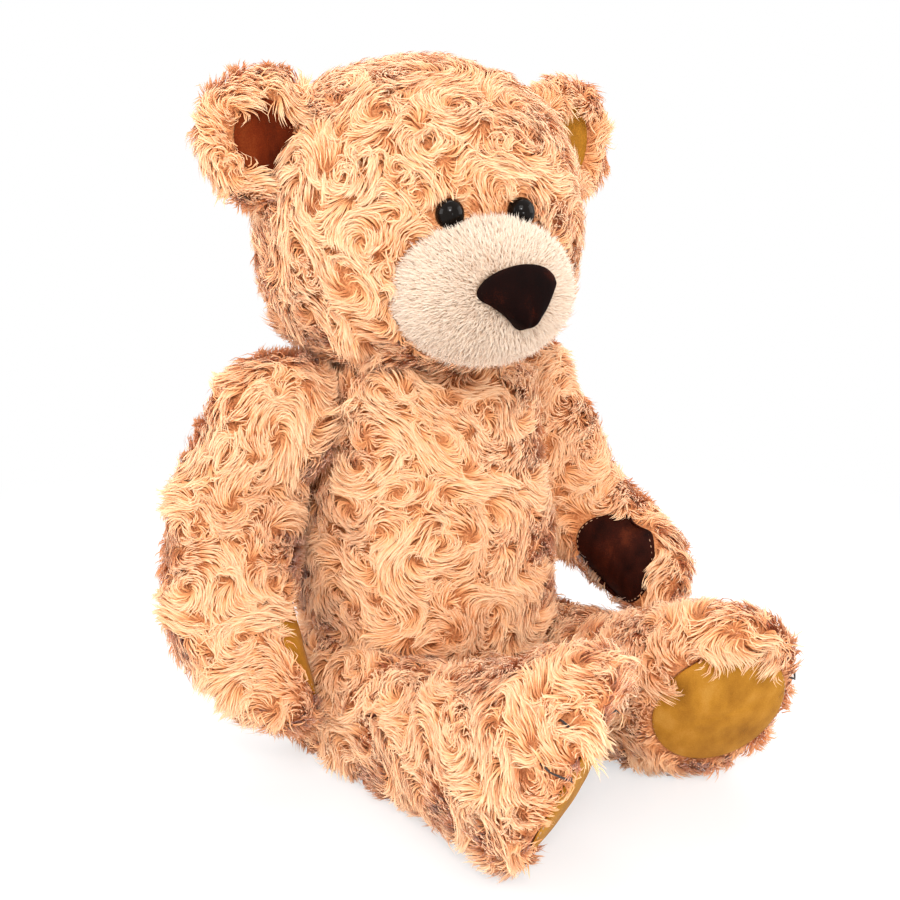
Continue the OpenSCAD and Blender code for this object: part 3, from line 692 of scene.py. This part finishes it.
def finish_hides(hides):
    stands_for = {"torso": ("torso_front", "torso_back", "torso_stuffing"),
                  "head": ("head_left", "head_right", "head_gusset", "head_stuffing"),
                  "muzzle": ("muzzle", "muzzle_stuffing")}
    for side in SIDES:
        stands_for[f"{side}_ear"] = (f"{side}_ear",)
        for limb in ("arm", "leg"):
            stands_for[f"{side}_{limb}"] = tuple(
                f"{side}_{limb}_{what}" for what in ("outer", "inner", "stuffing"))
    for part, hide in hides.items():
        body = "head" if part in ("muzzle", "left_ear", "right_ear") else part
        muzzle = part == "muzzle"
        finish_piece(hide, body,
                     MUZZLE_BACKING if muzzle else BACKING_WITH_PAINTED_SHADE, stands_for[part])


# ---------------------------------------------------------------- smooth pads and linings

def principal_axes(node):
    """Middle, length, width and thickness directions and sizes of a node."""
    places = np.unique(np.round(vertex_places(frame["nodes"][node]), 6), axis=0)
    centred = places - places.mean(0)
    _, _, axes = np.linalg.svd(centred, full_matrices=False)
    spans = [centred @ axis for axis in axes]
    middle = places.mean(0) + sum(axis * (s.min() + s.max()) / 2 for axis, s in zip(axes, spans))
    return middle, axes, [s.max() - s.min() for s in spans]


CAST_FROM = 30
CAST_REACH = 70
STITCH_LIFT = 1.6
STITCH_SHARE = 0.62
STITCH_RADIUS = 0.45 * MM
HEAD_TURN = math.radians(-14)
PAW_SHIFT = 4 * MM
CLOTH_THICKNESS = 1.6 * MM


def round_cloth(name, middle, length_way, width_way, length, width, rings=10, sides=48):
    """A flat round of cloth with even rings of faces."""
    deselect_all()
    bpy.ops.mesh.primitive_circle_add(vertices=sides, radius=1.0, fill_type="NGON")
    piece = bpy.context.view_layer.objects.active
    piece.name = name
    bpy.ops.object.mode_set(mode="EDIT")
    bpy.ops.mesh.select_all(action="SELECT")
    for _ in range(rings - 1):
        bpy.ops.mesh.inset(thickness=1.0 / rings, depth=0, use_boundary=True)
    bpy.ops.mesh.poke()
    bpy.ops.object.mode_set(mode="OBJECT")
    flat = vertex_places(piece)
    places = (np.array(middle) + flat[:, :1] * np.array(length_way) * length / 2
              + flat[:, 1:2] * np.array(width_way) * width / 2)
    set_places(piece, places)
    return piece, flat


def facing(normal, toward):
    return normal if np.dot(normal, toward) > 0 else -normal


def lay_cloth(piece, hide, way, offset, thickness, crown, flat, wrinkles=()):
    """Lays a flat cloth on a hide along a direction, crowns its middle and gives it thickness."""
    tree = tree_of(hide)
    way = Vector(way)
    spots = vertex_places(piece)
    radius = np.clip(np.linalg.norm(flat[:, :2], axis=1), 0, 1)
    for i, spot in enumerate(spots):
        start = Vector(spot) + way * CAST_FROM * MM
        hit = tree.ray_cast(start, -way, CAST_REACH * MM)[0]
        level = hit if hit is not None else Vector(spot)
        rise = offset + crown * (1 - radius[i] ** 2)
        for across, depth, width, tilt in wrinkles:
            line = flat[i, 1] - across - tilt * flat[i, 0]
            rise -= depth * math.exp(-(line / width) ** 2) * (1 - radius[i] ** 4)
        spots[i] = level + way * rise
    set_places(piece, spots)
    apply_modifier(piece, "SMOOTH", factor=0.5, iterations=3)
    apply_modifier(piece, "SOLIDIFY", thickness=thickness, offset=0)
    make_active(piece)
    bpy.ops.object.mode_set(mode="EDIT")
    bpy.ops.mesh.select_all(action="SELECT")
    bpy.ops.mesh.normals_make_consistent(inside=False)
    bpy.ops.object.mode_set(mode="OBJECT")
    apply_modifier(piece, "SUBSURF", levels=1, render_levels=1)
    bpy.ops.object.shade_smooth()
    return piece


def round_stitches(name, middle, length_way, width_way, length, width, lift_way, hide, count,
                   material, body):
    """Small slanting stitches round the rim of a pad."""
    tree = tree_of(hide)
    lift = Vector(lift_way)
    spots = []
    for k in range(count):
        angle = 2 * math.pi * k / count
        spot = (Vector(middle) + Vector(length_way) * math.cos(angle) * length / 2
                + Vector(width_way) * math.sin(angle) * width / 2)
        hit = tree.ray_cast(spot + lift * CAST_FROM * MM, -lift, CAST_REACH * MM)[0]
        spots.append((hit or spot) + lift * STITCH_LIFT * MM)
    stitches = []
    for k, spot in enumerate(spots):
        run = spots[(k + 1) % count] - spot
        stitches.append(stitch(name, spot, spot + run * STITCH_SHARE, STITCH_RADIUS))
    return join_pieces(name, stitches, body, material)


def stitch(name, start, end, radius):
    """One thread that rises out of the cloth and goes back in."""
    deselect_all()
    run = end - start
    bpy.ops.mesh.primitive_uv_sphere_add(segments=8, ring_count=6, radius=1)
    piece = bpy.context.view_layer.objects.active
    piece.name = name
    turn = run.to_track_quat("Z", "Y").to_matrix()
    places = vertex_places(piece) * np.array([radius, radius, run.length / 2])
    places = places @ np.array(turn).T + np.array((start + end) / 2)
    set_places(piece, places)
    bpy.ops.object.shade_smooth()
    return piece


def join_pieces(name, pieces, body, material, replaced=()):
    make_active(pieces[0])
    for piece in pieces:
        piece.select_set(True)
    if len(pieces) > 1:
        bpy.ops.object.join()
    whole = bpy.context.view_layer.objects.active
    whole.name = name
    return finish_piece(whole, body, material, replaced)


def turned(vector, angle=HEAD_TURN):
    return np.array(Matrix.Rotation(angle, 3, "Z") @ Vector(vector))


def make_foot_pad(side, hides):
    node = f"{side}_foot_pad"
    middle, axes, sizes = principal_axes(node)
    way = facing(axes[2], (0, -1, 0))
    up = axes[0] if axes[0][2] > 0 else -axes[0]
    across = np.cross(way, up)
    cloth, flat = round_cloth(f"{side}_sole", middle, across, up, sizes[1] * 1.02, sizes[0] * 0.99)
    creases = ((0.30, 1.0 * MM, 0.07, 0.25), (0.05, 0.5 * MM, 0.05, -0.3),
               (-0.35, 0.4 * MM, 0.06, 0.15))
    lay_cloth(cloth, hides[f"{side}_leg"], way, 0.9 * MM, CLOTH_THICKNESS, 7.5 * MM, flat,
              creases)
    body = f"{side}_leg"
    finish_piece(cloth, body, TAN_VELOUR, (node,))
    round_stitches(f"{side}_sole_stitches", middle, across, up, sizes[1] * 0.97, sizes[0] * 0.94,
                   way, hides[body], 64, SEAM_THREAD, body)
    return cloth


def make_paw_pad(side, hides):
    node = f"{side}_paw_pad"
    middle, axes, sizes = principal_axes(node)
    inwards = 1 if side == "right" else -1
    way = facing(axes[2], (inwards, 0, 0))
    tip = facing(axes[0], (0, 0, -1))
    middle = middle + tip * PAW_SHIFT
    width = sizes[1] * (1.06 if side == "left" else 0.85)
    cloth, flat = round_cloth(f"{side}_paw", middle, axes[0], axes[1], sizes[0] * 1.14, width)
    creases = ((0.15, 0.7 * MM, 0.10, 0.2), (-0.35, 0.5 * MM, 0.08, -0.2))
    lay_cloth(cloth, hides[f"{side}_arm"], way, 0.8 * MM, CLOTH_THICKNESS, 2.5 * MM, flat,
              creases)
    # The far (left) paw pad gets the painted-shade copy of the tan velour.
    paw_in_painted_shade = side == "left"
    body = f"{side}_arm"
    finish_piece(cloth, body,
                 PAW_VELOUR_PAINTED_SHADE if paw_in_painted_shade else TAN_VELOUR, (node,))
    round_stitches(f"{side}_paw_stitches", middle, axes[0], axes[1], sizes[0] * 1.06,
                   width * 0.92, way, hides[body], 44, SEAM_THREAD, body)
    return cloth


def make_ear_lining(side, hides):
    node = f"{side}_ear_lining"
    middle, axes, sizes = principal_axes(node)
    way = facing(axes[2], (0, -1, 0))
    upright = np.array((0, 0, 1.0))
    up = unit(upright - way * np.dot(upright, way))
    across = np.cross(way, up)
    size = max(sizes)
    cloth, flat = round_cloth(f"{side}_lining", middle, across, up, size * 0.98, size * 1.22)
    fold = 0.25 if side == "right" else -0.25
    lay_cloth(cloth, hides[f"{side}_ear"], way, 0.9 * MM, 1.2 * MM, 0, flat,
              ((fold, 1.2 * MM, 0.10, 2.4),))
    # The near (right) ear lining gets the painted-shade copy of the tan velour.
    lining_in_painted_shade = side == "right"
    finish_piece(cloth, "head",
                 LINING_VELOUR_PAINTED_SHADE if lining_in_painted_shade else TAN_VELOUR, (node,))
    return cloth


NOSE_ROLL = 0.15
NOSE_VOXEL = 1.2 * MM
NOSE_HALF_WIDTH = 22 * MM
NOSE_DROOP = 6 * MM
NOSE_PUFF = 4.0 * MM
PINCH_WIDTH = 1.3 * MM
TUCK_WIDTH = 1.6 * MM


def make_nose():
    """A stuffed velour nose, pinched by a short seam below its middle."""
    piece = joined_copy("nose_pad", ["nose"])
    apply_modifier(piece, "REMESH", mode="VOXEL", voxel_size=NOSE_VOXEL, use_smooth_shade=True)
    piece = keep_outer_shell(piece)
    full = np.ptp(vertex_places(piece), axis=0)
    apply_modifier(piece, "SMOOTH", factor=0.8, iterations=90)
    places = vertex_places(piece)
    middle = (places.min(0) + places.max(0)) / 2
    places = middle + (places - middle) * full / np.ptp(places, axis=0)
    across = (places - middle) @ turned((1, 0, 0))
    depth = (places - middle) @ turned((0, -1, 0))
    height = (places[:, 2] - places[:, 2].min()) / np.ptp(places[:, 2])
    droop = NOSE_DROOP * np.clip(np.abs(across) / NOSE_HALF_WIDTH, 0, 1) ** 2 * height
    pinch = np.exp(-(across / PINCH_WIDTH) ** 2) * np.clip(1.1 - 1.5 * height, 0, 1)
    tuck = np.exp(-((across - 5 * MM - 9 * MM * height) / TUCK_WIDTH) ** 2) * np.clip(
        0.8 - height, 0, 1)
    fullness = np.clip(1 - (across / NOSE_HALF_WIDTH) ** 2, 0, 1)
    puff = NOSE_PUFF * fullness * np.clip(depth / (6 * MM), 0, 1)
    move = puff * np.sin(math.pi * np.clip(height, 0, 1)) - (pinch * 2.0 + tuck * 1.0) * MM
    places += turned((0, -1, 0)) * np.where(depth > -4 * MM, move, 0)[:, None]
    tall = places[:, 2] - middle[2]
    places[:, 2] += NOSE_ROLL * across - droop
    places -= np.outer(NOSE_ROLL * tall, turned((1, 0, 0)))
    set_places(piece, places)
    apply_modifier(piece, "SUBSURF", levels=1, render_levels=1)
    bpy.ops.object.shade_smooth()
    return finish_piece(piece, "head", NOSE_VELOUR_WITH_PAINTED_SHEEN, ("nose",))


def make_eye(side):
    """A polished dome in place of the plain eye, on the same centre."""
    node = f"{side}_eye"
    places = vertex_places(frame["nodes"][node])
    axis = turned((0, -1, 0))
    front = places[(places - places.mean(0)) @ axis > -2 * MM]
    rows = np.hstack([2 * front, np.ones((len(front), 1))])
    answer = np.linalg.lstsq(rows, (front ** 2).sum(axis=1), rcond=None)[0]
    centre = answer[:3]
    radius = math.sqrt(answer[3] + centre @ centre)
    deselect_all()
    bpy.ops.mesh.primitive_uv_sphere_add(segments=48, ring_count=32, radius=radius)
    piece = bpy.context.view_layer.objects.active
    piece.name = f"{side}_eye_dome"
    spots = vertex_places(piece)
    spots *= np.array([0.98, 0.98, 1.04])
    set_places(piece, spots + centre + axis * 1.5 * MM)
    bpy.ops.object.shade_smooth()
    return finish_piece(piece, "head", EYE_PLASTIC, (node,))


CLAW_HEIGHT = 4.6 * MM
CLAW_RADIUS = 0.65 * MM
CLAW_OVERLAP = 0.15


def make_claws(side, hide):
    """Three heavy threads that lie over the fur of the toes."""
    node = f"{side}_claw_threads"
    piece = joined_copy(f"{side}_claws", [node])
    make_active(piece)
    bpy.ops.object.mode_set(mode="EDIT")
    bpy.ops.mesh.select_all(action="SELECT")
    bpy.ops.mesh.remove_doubles(threshold=0.01 * MM)
    bpy.ops.mesh.separate(type="LOOSE")
    bpy.ops.object.mode_set(mode="OBJECT")
    tree = tree_of(hide)
    threads = []
    for part in list(bpy.context.selected_objects):
        places = vertex_places(part)
        centred = places - places.mean(0)
        axis = np.linalg.svd(centred, full_matrices=False)[2][0]
        reach = np.abs(centred @ axis).max()
        ends = [Vector(places.mean(0) + axis * reach * k) for k in (-1, -0.33, 0.33, 1)]
        bpy.data.objects.remove(part)
        raised = []
        for k, end in enumerate(ends):
            found, normal = tree.find_nearest(end)[:2]
            raised.append(found + normal * (CLAW_HEIGHT if k in (1, 2) else CLAW_HEIGHT * 0.5))
        for a, b in zip(raised[:-1], raised[1:]):
            past = (b - a) * CLAW_OVERLAP
            threads.append(stitch(f"{side}_claws", a - past, b + past, CLAW_RADIUS))
    return join_pieces(f"{side}_claws", threads, f"{side}_leg", CLAW_THREAD, (node,))


# ---------------------------------------------------------------- fur of each part

PILE = 11.5 * MM
LOCKS_PER_MM2 = 0.129
PAD_TRIM_HEIGHT = 72 * MM
MUZZLE_PILE_LENGTH = 5.0 * MM
MUZZLE_BLADES_PER_MM2 = 3.1
PART_SEED = 20
EAR_SEED = 40
MUZZLE_SEED = 60


def muzzle_pile(hide, clear_of, rng):
    """Short straight pile that fans out from the nose."""
    roots, out = scatter(hide, MUZZLE_BLADES_PER_MM2, rng)
    gap_nose = gap_to(roots, clear_of["nose"])
    gap_head = gap_to(roots, clear_of["head"])
    gap_eyes = np.minimum(gap_to(roots, clear_of["left_eye"]), gap_to(roots, clear_of["right_eye"]))
    alive = (gap_nose > 0.5 * MM) & (gap_head > -1 * MM) & (gap_eyes > 0.5 * MM)
    roots, out, gap_eyes = roots[alive], out[alive], gap_eyes[alive]
    low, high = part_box("nose")
    away = roots - np.array((low + high) / 2)
    away = unit(away - out * (away * out).sum(axis=1, keepdims=True))
    stray = rng.normal(0, 0.42, roots.shape)
    lean = unit(away + stray)
    length = MUZZLE_PILE_LENGTH * rng.uniform(0.7, 1.2, len(roots))
    length = np.minimum(length, gap_eyes * 0.8)
    t = np.linspace(0, 1, 3)[None, :]
    path = (roots[:, None, :] - 0.3 * MM * out[:, None, :]
            + out[:, None, :] * (length[:, None] * 0.75 * (1 - (1 - t) ** 1.6))[..., None]
            + lean[:, None, :] * (length[:, None] * 0.8 * t ** 1.4)[..., None])
    widths = rng.uniform(0.3, 0.6, len(roots)) * MM
    twist = rng.uniform(-1.0, 1.0, len(roots))
    piece = fur_mesh("muzzle_pile", path, out, widths, twist, np.full(len(roots), 0.95),
                     rng.normal(0.5, 0.2, len(roots)))
    return finish_piece(piece, "head", MUZZLE_PILE)


def grow_fur(hides, pads, linings, nose, eyes):
    trees = {name: tree_of(hide) for name, hide in hides.items()}
    trees["nose"] = tree_of(nose)
    for side, eye in zip(SIDES, eyes):
        trees[f"{side}_eye"] = tree_of(eye)
    near = {"torso": ("head", "left_arm", "right_arm", "left_leg", "right_leg"),
            "head": ("torso", "left_arm", "right_arm")}
    for side in SIDES:
        near[f"{side}_arm"] = ("torso", "head", f"{side}_leg")
        near[f"{side}_leg"] = ("torso", f"{side}_arm")
    pieces_of = {"torso": 3, "head": 3}

    def away_from(things, gap):
        cloths = [tree_of(thing) for thing in things]

        def keep(roots, out):
            alive = np.ones(len(roots), bool)
            for cloth in cloths:
                alive &= np.abs(gap_to(roots, cloth)) > gap
                alive &= ~covered(roots, out, cloth)
            return alive
        return keep

    for k, part in enumerate(near):
        rng = np.random.default_rng(PART_SEED + k)
        clear = [(trees[other], 0.8, 3 * MM, ANY_HEIGHT) for other in near[part]]
        keep = None
        if part == "head":
            clear += [(trees["muzzle"], 1.2, 3 * MM, ANY_HEIGHT)]
            clear += [(trees[f"{side}_ear"], 1.5, 5 * MM, ANY_HEIGHT) for side in SIDES]
            clear += [(trees[f"{side}_eye"], 0.8, 1 * MM, ANY_HEIGHT) for side in SIDES]
        if part in pads:
            keep = away_from([pads[part]], 1.5 * MM)
            clear.append((tree_of(pads[part]), 0.7, 2.5 * MM, PAD_TRIM_HEIGHT))
        curly_fur(part, hides[part], part, rng, LOCKS_PER_MM2, PILE, keep, clear_of=clear,
                  pieces=pieces_of.get(part, 2))
    for k, side in enumerate(SIDES):
        rng = np.random.default_rng(EAR_SEED + k)
        curly_fur(f"{side}_ear", hides[f"{side}_ear"], "head", rng, LOCKS_PER_MM2 * 1.2,
                  PILE * 0.85, away_from([linings[side]], 2.2 * MM),
                  clear_of=[(trees["head"], 1.5, 5 * MM, ANY_HEIGHT)])
    muzzle_pile(hides["muzzle"], trees, np.random.default_rng(MUZZLE_SEED))


# ---------------------------------------------------------------- studio

AIM = Vector((-0.4, -30.5, 185.9)) * MM
CAMERA_AZIMUTH = math.radians(-40)
CAMERA_ELEVATION = math.radians(13.5)
CAMERA_DISTANCE = 732 * MM
LENS = 48.04
FADE_START = 0.30
FADE_END = 0.75
FLOOR_GLOW = 0.6
AMBIENT = 0.65
LAMPS = (
    ("key", (-0.9, -1.1, 1.35), 0.9, 14, (1.0, 0.99, 0.97)),
    ("fill", (1.2, -1.0, 0.8), 1.1, 10, (1.0, 0.98, 0.96)),
    ("top", (0.1, 0.5, 1.6), 1.0, 11, (1.0, 1.0, 1.0)),
    ("rim_left", (1.3, 0.7, 0.7), 0.8, 9, (1.0, 1.0, 1.0)),
    ("rim_right", (-1.4, 0.5, 0.7), 0.8, 9, (1.0, 1.0, 1.0)),
    ("glint_high", (-0.75, -1.0, 0.95), 0.14, 6, (1.0, 1.0, 1.0)),
    ("glint_low", (-0.45, -1.2, 0.30), 0.09, 2, (1.0, 1.0, 1.0)),
)


def make_camera():
    data = bpy.data.cameras.new("camera")
    data.lens, data.sensor_width = LENS, 36
    data.clip_start, data.clip_end = 0.01, 100
    camera = bpy.data.objects.new("camera", data)
    scene.collection.objects.link(camera)
    toward = Vector((math.sin(CAMERA_AZIMUTH) * math.cos(CAMERA_ELEVATION),
                     -math.cos(CAMERA_AZIMUTH) * math.cos(CAMERA_ELEVATION),
                     math.sin(CAMERA_ELEVATION)))
    camera.location = AIM + toward * CAMERA_DISTANCE
    camera.rotation_euler = toward.to_track_quat("Z", "Y").to_euler()
    scene.camera = camera


def soft_lamp(name, place, size, watts, tint):
    data = bpy.data.lights.new(name, "AREA")
    data.shape, data.size, data.energy, data.color = "SQUARE", size, watts, tint
    lamp = bpy.data.objects.new(name, data)
    lamp.location = place
    lamp.rotation_euler = (Vector(place) - AIM).to_track_quat("Z", "Y").to_euler()
    scene.collection.objects.link(lamp)


def seen_ray(tree):
    """1 for rays from the camera and for mirror or clear rays, which show the white studio."""
    path = tree.nodes.new("ShaderNodeLightPath")
    total = path.outputs["Is Camera Ray"]
    for name in ("Is Glossy Ray", "Is Transmission Ray"):
        most = tree.nodes.new("ShaderNodeMath")
        most.operation = "MAXIMUM"
        tree.links.new(total, most.inputs[0])
        tree.links.new(path.outputs[name], most.inputs[1])
        total = most.outputs[0]
    return total


def make_studio():
    deselect_all()
    bpy.ops.mesh.primitive_plane_add(size=12)
    floor = bpy.context.view_layer.objects.active
    floor.name = "floor"
    material = bpy.data.materials.new("studio_floor")
    material.use_nodes = True
    tree = material.node_tree
    paper = tree.nodes["Principled BSDF"]
    paper.inputs["Base Color"].default_value = (0.90, 0.90, 0.91, 1)
    paper.inputs["Roughness"].default_value = 0.9
    glow = tree.nodes.new("ShaderNodeEmission")
    share = tree.nodes.new("ShaderNodeMath")
    share.operation = "MULTIPLY"
    where = tree.nodes.new("ShaderNodeTexCoord")
    far = tree.nodes.new("ShaderNodeVectorMath")
    far.operation = "LENGTH"
    tree.links.new(where.outputs["Object"], far.inputs[0])
    fade = tree.nodes.new("ShaderNodeMapRange")
    fade.interpolation_type = "SMOOTHSTEP"
    for socket, value in (("From Min", FADE_START), ("From Max", FADE_END),
                          ("To Min", FLOOR_GLOW), ("To Max", 1.0)):
        fade.inputs[socket].default_value = value
    tree.links.new(far.outputs["Value"], fade.inputs["Value"])
    tree.links.new(seen_ray(tree), share.inputs[0])
    tree.links.new(fade.outputs["Result"], share.inputs[1])
    mix = tree.nodes.new("ShaderNodeMixShader")
    tree.links.new(share.outputs[0], mix.inputs[0])
    tree.links.new(paper.outputs[0], mix.inputs[1])
    tree.links.new(glow.outputs[0], mix.inputs[2])
    tree.links.new(mix.outputs[0], tree.nodes["Material Output"].inputs["Surface"])
    floor.data.materials.append(material)
    world = bpy.data.worlds.new("studio")
    scene.world = world
    world.use_nodes = True
    tree = world.node_tree
    sky = tree.nodes["Background"]
    strength = tree.nodes.new("ShaderNodeMapRange")
    tree.links.new(seen_ray(tree), strength.inputs["Value"])
    strength.inputs["To Min"].default_value = AMBIENT
    strength.inputs["To Max"].default_value = 1.0
    sky.inputs["Color"].default_value = (1, 1, 1, 1)
    tree.links.new(strength.outputs["Result"], sky.inputs["Strength"])
    for name, place, size, watts, tint in LAMPS:
        soft_lamp(name, place, size, watts, tint)


# ---------------------------------------------------------------- the bear

dress_frame_nodes()
hides = make_hides()
finish_hides(hides)
pads = {}
linings = {}
for side in SIDES:
    pads[f"{side}_leg"] = make_foot_pad(side, hides)
    pads[f"{side}_arm"] = make_paw_pad(side, hides)
    linings[side] = make_ear_lining(side, hides)
    make_claws(side, hides[f"{side}_leg"])
nose = make_nose()
eyes = [make_eye(side) for side in SIDES]
grow_fur(hides, pads, linings, nose, eyes)
make_camera()
make_studio()
scene.view_settings.view_transform = "Standard"
